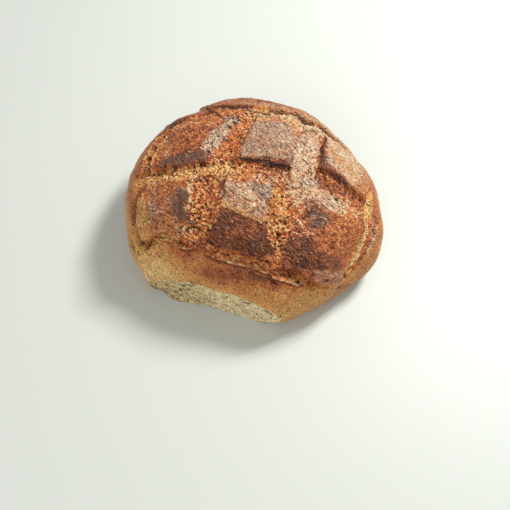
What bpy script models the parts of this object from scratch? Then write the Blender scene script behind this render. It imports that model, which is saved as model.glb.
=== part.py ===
"""Round whole wheat hearth loaf, scored crosswise, with one side torn where it baked against another.

The loaf is one closed solid: a risen dome with a tucked base, pillows of crust that swelled between
the cuts, and a flat torn face of bare crumb low on one side. All driving sizes are in millimetres
and are turned into metres when the mesh is made. Places on the crust are given as (u, v): millimetres
measured over the crust from the crown, u towards +X and v towards +Y.
"""

import math
from collections import namedtuple

import bmesh
import bpy
import numpy as np
from mathutils import Vector, noise

MM = 0.001

# The risen dome.
CROWN_HEIGHT = 88.0
WIDEST_LEVEL = 26.0
TUCK = 0.13  # share of the radius by which the base is smaller than the widest outline
FULLNESS = 2.2  # power of the superellipse that the dome's section follows; 2 is an ellipse
CROWN_PLACE = (-0.6, 1.6)  # the crown over the centre of the loaf's box
OUTLINE_RADII = (101, 93, 94, 95, 96, 100, 102, 103, 108, 105, 98, 107)  # every 30 degrees from +X
MEAN_RADIUS = 100.0

# Bulges and dents of the rim: direction in degrees, half-width in degrees, how far out.
RIM_LUMPS = ((18, 8, -2.2), (45, 10, 1.0), (188, 8, -1.0), (302, 8, 2.2), (322, 8, -2.0))
# Plates of crust that overlap along the rim: the plate's free edge, where it sinks in again, its step.
RIM_PLATES = ((137, 118, 1.8), (117, 88, 4.2))
PLATE_EDGE = 2.0  # degrees over which a plate's free edge drops
PLATE_LEVELS = (12.0, 38.0)  # the plates grow out of the loaf's foot between these levels

# The cuts, and the crust that rose between them.
CUT_DEPTH = 4.8
STEEP_FLANK = 3.4
GENTLE_FLANK = 8.5
CUT_FADE = 14.0  # length over which a cut runs out at its ends
PILLOW_DROP = 2.6  # how far the pillows' edges lie below their middles
PILLOW_REACH = 13.0
EAR_WIDTH = 2.2

# Swells of the whole crust: size and height.
SWELLS = ((42.0, 1.5), (17.0, 0.7))
PLAIN_FOOT = 16.0  # below this level the relief dies away, so that the base keeps its edge

# The torn side. It is a plane across the dome, and its distance is from the crown's axis.
TEAR_DIRECTION = 250.5  # degrees, the way the torn face looks
TEAR_DISTANCE = 83.8
TEAR_LEAN = 2.5  # the top edge of the tear stands this much further out than its foot
TEAR_CENTRE = 7.0  # along the face, from the point nearest to the axis
TEAR_HALF_LENGTH = 50.0
TEAR_END_LEVEL = 19.0
TEAR_ARCH = 14.0  # rise of the tear's top edge from its ends to its middle
TEAR_BULGE = (-30.0, 17.0, 4.2)  # of its foot: place along the face, half-width, how far out
TEAR_CORNER = (-58.0, 9.0, 8.0)  # the left end, over its full height
CRUMB_RECESS = 1.6  # the crumb lies this far behind the crust above it
CRUMB_ROUGHNESS = 1.0
CRUMB_GRAIN = 9.0
SHOULDER_LEAN = 0.10  # slope of the crust just above the tear
SHOULDER_CURVE = 0.0105  # growth of that slope, for each millimetre up, halved
SHOULDER_ROUND = 14.0

# Cells along each edge of the cube that the crust is blown up from.
CELLS = 34

Cut = namedtuple("Cut", "half_width depth_share steep_side ear_rise points")

# A cut's steep side is 1 on the left of its line and -1 on the right. An ear of crust stands along it.
CUTS = (
    # from the back to the front, left of the crown, where it opened wider towards the front
    Cut(8.5, 0.75, 1, 0.6, ((2, 66), (-4, 53), (-9, 38), (-15, 21), (-21, 6), (-28, -14))),
    Cut(11.5, 0.7, 1, 0.2, ((-24, -2), (-31, -20), (-36, -36), (-41, -51), (-46, -64), (-50, -74))),
    # from the back to the front, right of the crown: its two halves tore open on opposite sides
    Cut(10.0, 0.85, 1, 0.8, ((62, 52), (56, 42), (53, 32), (49, 20), (44, 7), (38, -5), (32, -18))),
    Cut(9.0, 0.7, -1, 0.3, ((36, -9), (28, -28), (21, -43), (17, -59), (16, -76), (19, -89))),
    # across, just in front of the crown
    Cut(8.0, 0.9, 1, 0.8, ((-98, 6), (-76, -3), (-52, -7), (-29, -8), (-8, -8), (10, -10), (29, -12), (44, -11))),
    Cut(8.5, 0.9, 1, 0.8, ((30, -12), (44, -11), (59, -15), (72, -20), (86, -25), (98, -29))),
    # along the front, in three runs
    Cut(6.0, 0.9, 1, 0.6, ((-104, -52), (-92, -61), (-75, -69), (-62, -75), (-48, -77))),
    Cut(6.5, 0.6, -1, 0.8, ((-46, -79), (-31, -84), (-19, -87), (-4, -90), (8, -94), (20, -97))),
    Cut(6.0, 0.75, 1, 0.8, ((8, -93), (22, -96), (35, -99), (51, -102), (66, -102))),
    # along the rim: the back, the left and the right
    Cut(
        8.0, 0.4, 1, 0.6,
        ((-76, 52), (-61, 62), (-46, 66), (-25, 62), (0, 61), (20, 60), (41, 56), (62, 51), (82, 42)),
    ),
    Cut(7.5, 0.8, 1, 0.8, ((-65, 56), (-74, 47), (-81, 35), (-86, 21), (-90, 8), (-95, -5))),
    Cut(5.5, 0.6, -1, 1.4, ((102, -2), (95, -19), (91, -34), (90, -49), (89, -65), (88, -80), (83, -92))),
)


def ease(x):
    """0 below 0, 1 above 1, and a smooth step between."""
    x = np.clip(x, 0, 1)
    return x * x * (3 - 2 * x)


def soft_least(a, b, width):
    """The smaller of a and b, rounded over width where they meet."""
    share = np.clip(0.5 + 0.5 * (b - a) / width, 0, 1)
    return b + (a - b) * share - width * share * (1 - share)


def blend_through(p0, p1, p2, p3, t):
    """The Catmull-Rom curve from p1 at t = 0 to p2 at t = 1."""
    turn = 2 * p0 - 5 * p1 + 4 * p2 - p3
    return 0.5 * (2 * p1 + (p2 - p0) * t + turn * t**2 + (3 * p1 - p0 - 3 * p2 + p3) * t**3)


def smooth_line(points, steps=6):
    """Points along a smooth curve through the given ones, steps to each span."""
    given = np.array(points, float)
    held = np.vstack((2 * given[0] - given[1], given, 2 * given[-1] - given[-2]))
    t = np.linspace(0, 1, steps, endpoint=False)[:, None]
    spans = [blend_through(*four, t) for four in zip(held, held[1:], held[2:], held[3:])]
    return np.vstack((*spans, given[-1]))


def lumps(points, size, seed):
    """Smooth unevenness between about -1 and 1, whose swells are size apart."""
    shift = Vector((seed, seed * 0.37, seed * 0.71))
    return np.array([noise.noise(Vector(p) / size + shift) for p in points]) * 1.6


def swell(place, bulge):
    """A round bulge, given by its middle, its half-width and its height."""
    middle, half_width, height = bulge
    return height * np.exp(-(((place - middle) / half_width) ** 2))


def outline(angle, level):
    """The radius of the widest outline in each direction, with the rim's plates as grown at a level."""
    radii = np.array(OUTLINE_RADII, float)
    place = (angle % math.tau) / math.tau * len(radii)
    first = np.floor(place).astype(int)
    four = (radii[(first + k) % len(radii)] for k in (-1, 0, 1, 2))
    radius = blend_through(*four, place - first)
    degrees = np.degrees(angle) % 360
    for lump in RIM_LUMPS:
        radius = radius + swell(degrees, lump)
    grown = ease((level - PLATE_LEVELS[0]) / (PLATE_LEVELS[1] - PLATE_LEVELS[0]))
    for free_edge, end, step in RIM_PLATES:
        ramp = np.clip((degrees - end) / (free_edge - end), 0, 1)
        radius = radius + step * grown * ramp * ease((free_edge - degrees) / PLATE_EDGE + 1)
    return radius


def section():
    """The dome's section from the crown to the base's edge: length over the crust, radius, height."""
    turn = np.linspace(0, math.pi / 2, 300)
    rise = CROWN_HEIGHT - WIDEST_LEVEL
    risen = MEAN_RADIUS * np.sin(turn) ** (2 / FULLNESS)
    tucked = MEAN_RADIUS * (1 - TUCK * (1 - np.cos(turn[1:])))
    radius = np.concatenate((risen, tucked))
    above = WIDEST_LEVEL + rise * np.cos(turn) ** (2 / FULLNESS)
    height = np.concatenate((above, WIDEST_LEVEL * (1 - np.sin(turn[1:]))))
    length = np.concatenate(([0], np.cumsum(np.hypot(np.diff(radius), np.diff(height)))))
    return length, radius / MEAN_RADIUS, height


def bare_form(u, v):
    """The loaf without its cuts and bumps, and how far each point lies inside the torn face."""
    length, radius_share, height = section()
    over = np.minimum(np.hypot(u, v), length[-1])
    angle = np.arctan2(v, u)
    level = np.interp(over, length, height)
    radius = np.interp(over, length, radius_share) * outline(angle, level)
    x, y = radius * np.cos(angle), radius * np.sin(angle)

    looks = math.radians(TEAR_DIRECTION)
    out_x, out_y = math.cos(looks), math.sin(looks)
    reach = x * out_x + y * out_y
    along = y * out_x - x * out_y
    share = np.clip((along - TEAR_CENTRE) / TEAR_HALF_LENGTH, -1, 1)
    top = TEAR_END_LEVEL + TEAR_ARCH * (1 - np.abs(share) ** 3)
    up = np.clip(level / top, 0, 1)
    above = np.maximum(level - top, 0)
    wall = TEAR_DISTANCE + TEAR_LEAN * up - above * (SHOULDER_LEAN + SHOULDER_CURVE * above)
    wall += swell(along, TEAR_BULGE) * (1 - up) + swell(along, TEAR_CORNER)
    width = 1 + (SHOULDER_ROUND - 1) * ease(above / 10)
    moved = soft_least(reach, wall, width) - reach
    crumb = ease((reach - wall) / 3) * ease((top - level) / 3 + 0.5)
    return np.stack((x + moved * out_x, y + moved * out_y, level), axis=1), crumb


def outward(u, v):
    """The unit normal of the bare form."""
    step = 0.5
    along_u = bare_form(u + step, v)[0] - bare_form(u - step, v)[0]
    along_v = bare_form(u, v + step)[0] - bare_form(u, v - step)[0]
    normal = np.cross(along_u, along_v)
    return normal / np.maximum(np.linalg.norm(normal, axis=1), 1e-9)[:, None]


def near_line(u, v, line):
    """Distance to a line, the side of it (1 left, -1 right), and the length to its nearer end."""
    lengths = np.linalg.norm(np.diff(line, axis=0), axis=1)
    starts = np.concatenate(([0], np.cumsum(lengths)))
    distance = np.full_like(u, 1e9)
    side = np.zeros_like(u)
    along = np.zeros_like(u)
    for p, q, run, start in zip(line, line[1:], lengths, starts):
        du, dv = (q - p) / run
        forward = np.clip((u - p[0]) * du + (v - p[1]) * dv, 0, run)
        off_u, off_v = u - p[0] - forward * du, v - p[1] - forward * dv
        off = np.hypot(off_u, off_v)
        closer = off < distance
        distance = np.where(closer, off, distance)
        side = np.where(closer, np.sign(off_v * du - off_u * dv), side)
        along = np.where(closer, start + forward, along)
    return distance, side, np.minimum(along, starts[-1] - along)


def cut_relief(u, v):
    """Height of the crust over the bare form, from the cuts and the pillows between them."""
    floor = np.zeros_like(u)
    ear = np.zeros_like(u)
    away = np.full_like(u, 1e3)
    for cut in CUTS:
        distance, side, to_end = near_line(u, v, smooth_line(cut.points))
        opened = ease(to_end / CUT_FADE)
        half_width = cut.half_width * (0.5 + 0.5 * opened)
        steep = side == cut.steep_side
        flank = np.where(steep, STEEP_FLANK, GENTLE_FLANK)
        dip = ease((half_width - distance) / flank) * (0.3 + 0.7 * opened)
        floor = np.maximum(floor, dip * cut.depth_share)
        away = np.minimum(away, np.maximum(distance - half_width, 0) + 8 * (1 - opened))
        beside = np.exp(-(((distance - half_width - EAR_WIDTH / 2) / EAR_WIDTH) ** 2))
        ear = np.maximum(ear, cut.ear_rise * beside * opened * steep)
    pillow_edge = np.exp(-((away / PILLOW_REACH) ** 2))
    return ear * (1 - floor) - PILLOW_DROP * pillow_edge - CUT_DEPTH * floor


def crust_points(directions):
    """Where each direction from the cube's centre meets the loaf's surface, in millimetres."""
    x, y, z = directions.T
    angle = np.arctan2(y, x)
    corner = np.maximum(np.abs(np.cos(angle)), np.abs(np.sin(angle)))
    lowest = math.pi - np.arctan(1 / corner)  # the tilt at which a direction meets the cube's lower edge
    share = np.arccos(np.clip(z, -1, 1)) / lowest
    over = np.clip(share, 0, 1) * section()[0][-1]
    u, v = over * np.cos(angle), over * np.sin(angle)

    bare, crumb = bare_form(u, v)
    crust = cut_relief(u, v)
    for seed, (size, rise) in enumerate(SWELLS):
        crust += rise * lumps(bare, size, 3.0 + 8 * seed)
    torn = CRUMB_ROUGHNESS * lumps(bare, CRUMB_GRAIN, 31.0) - CRUMB_RECESS
    relief = crust * ease(bare[:, 2] / PLAIN_FOOT) * (1 - crumb) + torn * crumb * ease(bare[:, 2] / 3)
    points = bare + relief[:, None] * outward(u, v)
    points[:, :2] += CROWN_PLACE
    points[:, 2] = np.where(share > 1 - 1e-6, 0, np.maximum(points[:, 2], 0.2))
    return points


def crust_colour():
    """The crust's own plain colour: toasted brown, dull."""
    material = bpy.data.materials.new("crust")
    material.use_nodes = True
    surface = material.node_tree.nodes["Principled BSDF"]
    surface.inputs["Base Color"].default_value = (0.30, 0.135, 0.055, 1)
    surface.inputs["Roughness"].default_value = 0.62
    surface.inputs["Metallic"].default_value = 0.0
    return material


def build_loaf():
    """Blows a finely divided cube, open below, up into the loaf, and closes it with its flat base."""
    shape = bmesh.new()
    bmesh.ops.create_cube(shape, size=2)
    below = min(shape.faces, key=lambda face: face.calc_center_median().z)
    bmesh.ops.delete(shape, geom=[below], context="FACES_ONLY")
    bmesh.ops.subdivide_edges(shape, edges=shape.edges[:], cuts=CELLS - 1, use_grid_fill=True)

    cube = np.array([vertex.co for vertex in shape.verts])
    even = np.tan(cube * math.pi / 4)  # gives the cells equal angles
    directions = even / np.linalg.norm(even, axis=1)[:, None]
    for vertex, point in zip(shape.verts, crust_points(directions)):
        vertex.co = point * MM

    rim = [edge for edge in shape.edges if edge.is_boundary]
    bmesh.ops.holes_fill(shape, edges=rim, sides=0)
    bmesh.ops.recalc_face_normals(shape, faces=shape.faces[:])

    mesh = bpy.data.meshes.new("loaf")
    shape.to_mesh(mesh)
    shape.free()
    mesh.shade_smooth()
    mesh.materials.append(crust_colour())
    loaf = bpy.data.objects.new("loaf", mesh)
    bpy.context.scene.collection.objects.link(loaf)


for old in list(bpy.data.objects):
    bpy.data.objects.remove(old)
build_loaf()
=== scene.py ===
import math
from collections import namedtuple

import bmesh
import bpy
import numpy as np
from mathutils import Matrix, Vector, noise


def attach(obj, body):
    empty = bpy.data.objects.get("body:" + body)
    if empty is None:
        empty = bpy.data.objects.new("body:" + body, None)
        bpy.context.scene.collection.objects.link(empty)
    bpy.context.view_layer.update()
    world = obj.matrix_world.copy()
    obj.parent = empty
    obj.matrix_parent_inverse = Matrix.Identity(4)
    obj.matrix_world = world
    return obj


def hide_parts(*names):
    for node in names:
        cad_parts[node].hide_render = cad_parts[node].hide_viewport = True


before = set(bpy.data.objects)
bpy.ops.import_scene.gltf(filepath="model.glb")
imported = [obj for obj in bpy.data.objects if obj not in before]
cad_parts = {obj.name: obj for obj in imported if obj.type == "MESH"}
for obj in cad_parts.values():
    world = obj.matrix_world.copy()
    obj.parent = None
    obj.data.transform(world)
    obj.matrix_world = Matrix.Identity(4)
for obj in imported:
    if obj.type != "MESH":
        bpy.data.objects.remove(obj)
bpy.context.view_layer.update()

# The risen dough
# One round of whole wheat dough, risen free and baked on the oven's floor: a full dome on a tucked,
# flat base. Places on it are (u, v), millimetres over the crust from the crown, towards +X and +Y.

MM = 0.001
CROWN_HEIGHT = 88.0
WIDEST_LEVEL = 26.0
TUCK = 0.13
FULLNESS = 2.2
CROWN_PLACE = (-0.6, 1.6)
OUTLINE_RADII = (101, 93, 94, 95, 96, 100, 102, 103, 108, 105, 98, 107)  # every 30 degrees from +X
MEAN_RADIUS = 100.0
# A lump of the rim: its middle and half-width in degrees, and how far it stands out.
RIM_LUMPS = ((18, 8, -2.2), (45, 10, 1.0), (188, 8, -1.0), (302, 8, 2.2), (322, 8, -2.0))


def ease(x):
    """0 below 0, 1 above 1, and a smooth step between."""
    x = np.clip(x, 0, 1)
    return x * x * (3 - 2 * x)


def swell(place, bulge):
    """A round bulge, given by its middle, its half-width and its height."""
    middle, half_width, height = bulge
    return height * np.exp(-(((place - middle) / half_width) ** 2))


def blend_through(p0, p1, p2, p3, t):
    """The Catmull-Rom curve from p1 at t = 0 to p2 at t = 1."""
    turn = 2 * p0 - 5 * p1 + 4 * p2 - p3
    return 0.5 * (2 * p1 + (p2 - p0) * t + turn * t**2 + (3 * p1 - p0 - 3 * p2 + p3) * t**3)


def section():
    """The dome's section, crown to base: length over the crust, share of the outline's radius, height."""
    turn = np.linspace(0, math.pi / 2, 300)
    rise = CROWN_HEIGHT - WIDEST_LEVEL
    risen = MEAN_RADIUS * np.sin(turn) ** (2 / FULLNESS)
    tucked = MEAN_RADIUS * (1 - TUCK * (1 - np.cos(turn[1:])))
    radius = np.concatenate((risen, tucked))
    above = WIDEST_LEVEL + rise * np.cos(turn) ** (2 / FULLNESS)
    height = np.concatenate((above, WIDEST_LEVEL * (1 - np.sin(turn[1:]))))
    length = np.concatenate(([0], np.cumsum(np.hypot(np.diff(radius), np.diff(height)))))
    return length, radius / MEAN_RADIUS, height


# The rim's plates
# Where the dough burst open along its back edge, the skin overlaps itself in plates, each with a free
# edge that stands proud of the next.

# A plate: its free edge and the place where it sinks in, in degrees, and the step at its edge.
RIM_PLATES = ((137, 118, 1.8), (117, 88, 4.2))
PLATE_EDGE = 2.0
PLATE_LEVELS = (12.0, 38.0)  # the plates grow to their full step between these heights


def outline(angle, level):
    """The radius of the widest outline in each direction, with the rim's plates as grown at a level."""
    radii = np.array(OUTLINE_RADII, float)
    place = (angle % math.tau) / math.tau * len(radii)
    first = np.floor(place).astype(int)
    four = (radii[(first + k) % len(radii)] for k in (-1, 0, 1, 2))
    radius = blend_through(*four, place - first)
    degrees = np.degrees(angle) % 360
    for lump in RIM_LUMPS:
        radius = radius + swell(degrees, lump)
    raised = ease((level - PLATE_LEVELS[0]) / (PLATE_LEVELS[1] - PLATE_LEVELS[0]))
    for free_edge, end, step in RIM_PLATES:
        ramp = np.clip((degrees - end) / (free_edge - end), 0, 1)
        radius = radius + step * raised * ramp * ease((free_edge - degrees) / PLATE_EDGE + 1)
    return radius


# The torn side
# The loaf touched its neighbour in the oven. Pulled apart, they left a low, upright face of bare
# crumb with a thin lip of crust over it, and the crust above it rose straight before it curved in.

TEAR_DIRECTION = 250.5
TEAR_DISTANCE = 83.8
TEAR_LEAN = 2.5
TEAR_CENTRE = 7.0
TEAR_HALF_LENGTH = 50.0
TEAR_END_LEVEL = 19.0
TEAR_ARCH = 14.0
TEAR_BULGE = (-30.0, 17.0, 4.2)
TEAR_CORNER = (-58.0, 9.0, 8.0)
FOOT_BARED = 6.0  # at its foot the crumb shows this far round the tuck
SHOULDER_LEAN = 0.10
SHOULDER_CURVE = 0.0105
SHOULDER_ROUND = 14.0
SHOULDER_HEIGHT = 10.0
CRUMB_EDGE = 1.2  # the crust gives way to the crumb over this width


def soft_least(a, b, width):
    """The smaller of a and b, rounded over width where they meet."""
    share = np.clip(0.5 + 0.5 * (b - a) / width, 0, 1)
    return b + (a - b) * share - width * share * (1 - share)


def bare_form(u, v, ragged=0.0):
    """The loaf without its cuts and bumps, and how far each point lies inside the torn face."""
    length, radius_share, height = section()
    over = np.minimum(np.hypot(u, v), length[-1])
    angle = np.arctan2(v, u)
    level = np.interp(over, length, height)
    radius = np.interp(over, length, radius_share) * outline(angle, level)
    x, y = radius * np.cos(angle), radius * np.sin(angle)

    looks = math.radians(TEAR_DIRECTION)
    out_x, out_y = math.cos(looks), math.sin(looks)
    reach = x * out_x + y * out_y
    along = y * out_x - x * out_y
    share = np.clip((along - TEAR_CENTRE) / TEAR_HALF_LENGTH, -1, 1)
    top = TEAR_END_LEVEL + TEAR_ARCH * (1 - np.abs(share) ** 3)
    up = np.clip(level / top, 0, 1)
    above = np.maximum(level - top, 0)
    wall = TEAR_DISTANCE + TEAR_LEAN * up - above * (SHOULDER_LEAN + SHOULDER_CURVE * above)
    wall += swell(along, TEAR_BULGE) * (1 - up) + swell(along, TEAR_CORNER)
    width = 1 + (SHOULDER_ROUND - 1) * ease(above / SHOULDER_HEIGHT)
    moved = soft_least(reach, wall, width) - reach
    bared = reach - wall - 0.5 * ragged + FOOT_BARED * (1 - up) ** 4
    crumb = ease(bared / CRUMB_EDGE) * ease((top + ragged - level) / CRUMB_EDGE + 0.5)
    return np.stack((x + moved * out_x, y + moved * out_y, level), axis=1), crumb


def outward(u, v):
    """The unit normal of the bare form."""
    step = 0.5
    along_u = bare_form(u + step, v)[0] - bare_form(u - step, v)[0]
    along_v = bare_form(u, v + step)[0] - bare_form(u, v - step)[0]
    normal = np.cross(along_u, along_v)
    return normal / np.maximum(np.linalg.norm(normal, axis=1), 1e-9)[:, None]


# The score cuts
# A blade slashed the dough crosswise and round the rim. In the oven the cuts tore open to rough
# valleys, steep with a thin ear on one side, and the skin between them swelled up in pillows.

CUT_DEPTH = 4.8
STEEP_FLANK = 2.6
GENTLE_FLANK = 8.5
CUT_FADE = 14.0
CUT_END_WIDTH = 0.5
CUT_END_DEPTH = 0.3
CUT_WAVER = 0.16
PILLOW_DROP = 2.6
PILLOW_REACH = 13.0
END_DISTANCE = 8.0  # a cut's end draws the pillows down as if it were this much farther away
EAR_WIDTH = 2.2
FRAY_STARTS = 0.6  # shares of the half-width: the gentle flank is frayed from here outwards
FRAY_REACH = 7.0
WALL_LEAST = 0.3
CUT_REACH = 34.0  # beyond this distance from its line a cut leaves the crust alone
FAR = 1e3  # farther apart than any two places on the loaf

Cut = namedtuple("Cut", "half_width depth_share steep_side ear_rise points")

# A cut's steep side is 1 on the left of its line and -1 on the right. An ear of crust stands along it.
CUTS = (
    # from the back to the front, left of the crown, where it opened wider towards the front
    Cut(8.5, 0.75, 1, 0.6, ((2, 66), (-4, 53), (-9, 38), (-15, 21), (-21, 6), (-28, -14))),
    Cut(11.5, 0.7, 1, 0.2, ((-24, -2), (-31, -20), (-36, -36), (-41, -51), (-46, -64), (-50, -74))),
    # from the back to the front, right of the crown: its two halves tore open on opposite sides
    Cut(10.0, 0.65, 1, 0.5, ((62, 52), (56, 42), (53, 32), (49, 20), (44, 7), (38, -5), (32, -18))),
    Cut(9.0, 0.7, -1, 0.3, ((36, -9), (28, -28), (21, -43), (17, -59), (16, -76), (19, -89))),
    # across, just in front of the crown
    Cut(8.0, 0.7, 1, 0.7,
        ((-98, 6), (-76, -3), (-52, -7), (-29, -8), (-8, -8), (10, -10), (29, -12), (44, -11))),
    Cut(8.5, 0.8, 1, 0.8, ((30, -12), (44, -11), (59, -15), (72, -20), (86, -25), (98, -29))),
    # along the front, in three runs
    Cut(6.0, 0.9, 1, 0.6, ((-104, -52), (-92, -61), (-75, -69), (-62, -75), (-48, -77))),
    Cut(6.5, 0.6, -1, 0.8, ((-46, -79), (-31, -84), (-19, -87), (-4, -90), (8, -94), (20, -97))),
    Cut(6.0, 0.75, 1, 0.8, ((8, -93), (22, -96), (35, -99), (51, -102), (66, -102))),
    # along the rim: the back, the left and the right
    Cut(8.0, 0.4, 1, 0.6,
        ((-76, 52), (-61, 62), (-46, 66), (-25, 62), (0, 61), (20, 60), (41, 56), (62, 51), (82, 42))),
    Cut(7.5, 0.8, 1, 0.8, ((-65, 56), (-74, 47), (-81, 35), (-86, 21), (-90, 8), (-95, -5))),
    Cut(5.5, 0.6, -1, 1.4, ((102, -2), (95, -19), (91, -34), (90, -49), (89, -65), (88, -80), (83, -92))),
)


def smooth_line(points, steps=6):
    """Points along a smooth curve through the given ones, steps to each span."""
    given = np.array(points, float)
    held = np.vstack((2 * given[0] - given[1], given, 2 * given[-1] - given[-2]))
    t = np.linspace(0, 1, steps, endpoint=False)[:, None]
    spans = [blend_through(*four, t) for four in zip(held, held[1:], held[2:], held[3:])]
    return np.vstack((*spans, given[-1]))


def near_line(u, v, line):
    """Distance to a line, the side of it (1 left, -1 right), and the length to its nearer end."""
    lengths = np.linalg.norm(np.diff(line, axis=0), axis=1)
    starts = np.concatenate(([0], np.cumsum(lengths)))
    distance = np.full_like(u, FAR)
    side = np.zeros_like(u)
    along = np.zeros_like(u)
    for p, q, run, start in zip(line, line[1:], lengths, starts):
        du, dv = (q - p) / run
        forward = np.clip((u - p[0]) * du + (v - p[1]) * dv, 0, run)
        off_u, off_v = u - p[0] - forward * du, v - p[1] - forward * dv
        off = np.hypot(off_u, off_v)
        closer = off < distance
        distance = np.where(closer, off, distance)
        side = np.where(closer, np.sign(off_v * du - off_u * dv), side)
        along = np.where(closer, start + forward, along)
    return distance, side, np.minimum(along, starts[-1] - along)


def close_to(u, v, points, reach):
    """The numbers of the places that lie within reach of the box around the points."""
    low, high = np.min(points, axis=0) - reach, np.max(points, axis=0) + reach
    return np.nonzero((u > low[0]) & (u < high[0]) & (v > low[1]) & (v < high[1]))[0]


def grown(share, least):
    """Grows from least, where the share is 0, to 1."""
    return least + (1 - least) * share


def cut_relief(u, v, ragged):
    """The cuts' height over the bare form, how open they are, and how near a gentle flank or steep wall."""
    floor, ear, flank_near, wall = np.zeros((4, u.size))
    away = np.full_like(u, FAR)
    for cut in CUTS:
        here = close_to(u, v, cut.points, CUT_REACH)
        distance, side, to_end = near_line(u[here], v[here], smooth_line(cut.points))
        opened = ease(to_end / CUT_FADE)
        half_width = cut.half_width * grown(opened, CUT_END_WIDTH) * (1 + CUT_WAVER * ragged[here])
        steep = side == cut.steep_side
        flank = np.where(steep, STEEP_FLANK, GENTLE_FLANK)
        dip = ease((half_width - distance) / flank) * grown(opened, CUT_END_DEPTH)
        floor[here] = np.maximum(floor[here], dip * cut.depth_share)
        wall[here] = np.maximum(wall[here], 4 * dip * (1 - dip) * opened * steep)
        beyond = np.maximum(distance - half_width, 0) + END_DISTANCE * (1 - opened)
        away[here] = np.minimum(away[here], beyond)
        beside = swell(distance, (half_width + EAR_WIDTH / 2, EAR_WIDTH, cut.ear_rise))
        ear[here] = np.maximum(ear[here], beside * opened * steep)
        frayed = swell(np.maximum(distance - FRAY_STARTS * half_width, 0), (0, FRAY_REACH, 1))
        flank_near[here] = np.maximum(flank_near[here], frayed * opened * ~steep)
    relief = ear * (1 - floor) - swell(away, (0, PILLOW_REACH, PILLOW_DROP)) - CUT_DEPTH * floor
    return relief, floor, flank_near, wall * grown(floor, WALL_LEAST)


# The cracks, lips and holes
# Skin that pulled apart left narrow cracks, painted dark as their shade, some with a thin lip of crust
# curling up along one side and painted pale as its highlight, and bubbles broke through to holes and slots,
# most of them at the rim.

CRACK_REACH = 6.0  # half-widths
CRACK_FADE = 6.0
CRACK_END = 0.15  # the share of it that is left at its very end
LIP_PLACE = 1.3  # half-widths from the crack's line, and this gap more
LIP_GAP = 0.5
LIP_WIDTH = 0.8
SHADE_DEPTH = 1.6  # a crack's painted shade is full when it's this many half-widths deep
LIP_HIGHLIGHT_RISE = 1.5  # a lip that stands this high gets the full painted highlight

Crack = namedtuple("Crack", "half_width depth lip points")  # the lip stands on the left of the line

CRACKS = (
    # the back, from the left
    Crack(1.4, 3.2, 0.8, ((-46, 94), (-42, 83), (-36, 75), (-28, 72), (-15, 70), (3, 70.5))),
    Crack(0.9, 1.0, 0.4, ((-26, 47), (-16, 48.5), (-7, 50.5))),
    Crack(1.8, 2.0, 0.5, ((-8, 65), (0, 64), (8, 62), (14, 58))),
    Crack(1.8, 3.6, 0.5, ((31, 67), (36, 67.5), (42, 64), (50, 59.5), (58, 59))),
    Crack(2.3, 4.6, 0.8, ((59, 60), (68, 57.5), (76, 51.5), (82, 45.5), (88, 39))),
    Crack(1.0, 1.4, 0.2, ((21, 48), (24, 45), (26, 45), (29, 40))),
    # between the pillows
    Crack(0.9, 0.9, 0.1, ((60, 43), (54, 44.5), (47, 41.5), (42, 36.5), (38.5, 30))),
    Crack(0.6, 0.5, 0.1, ((33.5, 14), (30.5, 6), (27, -3), (25, -12), (25, -20), (22, -27))),
    Crack(0.6, 1.0, 0.1, ((-13, 1), (-1, -1), (10, -2.6), (19, -3.4), (26, -4))),
    Crack(0.6, 0.9, 0.1, ((64, 40), (63, 34), (60, 24), (57, 15), (53, 6))),
    Crack(0.7, 0.4, 0.1, ((11, -46), (8.5, -56), (7, -66), (10, -78), (14, -86))),
    Crack(0.6, 0.5, 0.9, ((9, -53), (3, -49.5), (-5, -45.5), (-14, -40.5), (-23, -35))),
    Crack(0.7, 0.8, 0.1,
          ((-42, -20), (-37, -14.5), (-32, -11.5), (-27, -15), (-21.5, -20), (-20.5, -28), (-24, -36))),
    # under the pillows of the front row, a shallow groove that also carries painted shadow, and the lips of
    # the front cut
    Crack(2.6, 1.0, 0.0, ((22, -91), (30, -94.5), (41, -96.5), (54, -98.5), (64, -99))),
    Crack(0.9, 0.7, 1.2, ((-65, -79), (-60, -80), (-54, -80.5), (-46, -79.5))),
    Crack(0.9, 0.7, 1.3,
          ((-42, -85.5), (-32, -90.5), (-18, -94.5), (-2, -97), (7, -99), (14, -102), (30, -103.5),
           (43, -101.5))),
    Crack(0.8, 0.9, 0.3, ((2, -99), (7, -101), (14, -104), (20, -105))),
    # the left rim
    Crack(3.2, 1.4, 0.2, ((-89, -11), (-95, -17), (-99, -27), (-101, -41))),
    Crack(1.4, 0.9, 1.3, ((-62, 56), (-70, 47), (-76, 35), (-80, 22), (-82, 10), (-86, 3))),
    Crack(0.8, 0.8, 0.0, ((-68, -67), (-62, -71), (-56, -73.5))),
    Crack(1.8, 1.4, 0.3, ((-113, -45), (-112, -54), (-109, -63))),
    Crack(1.2, 2.0, 1.2, ((-82, 66), (-88, 52), (-94, 36), (-97, 20))),
    # the right rim
    Crack(0.5, 0.3, 0.7, ((80, -91), (88, -83), (92, -72), (92, -56), (93, -40), (95, -28), (99, -16))),
    Crack(1.0, 1.0, 0.5, ((102, -32), (99, -46), (97, -60), (95, -74))),
)

HOLE_FLANK = 1.8
HOLE_RIM = 0.35

# A turned oval: its middle, half-length, half-width and turn in degrees. A hole is one, with a depth.
Hole = namedtuple("Hole", "u v long wide turn depth")

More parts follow.
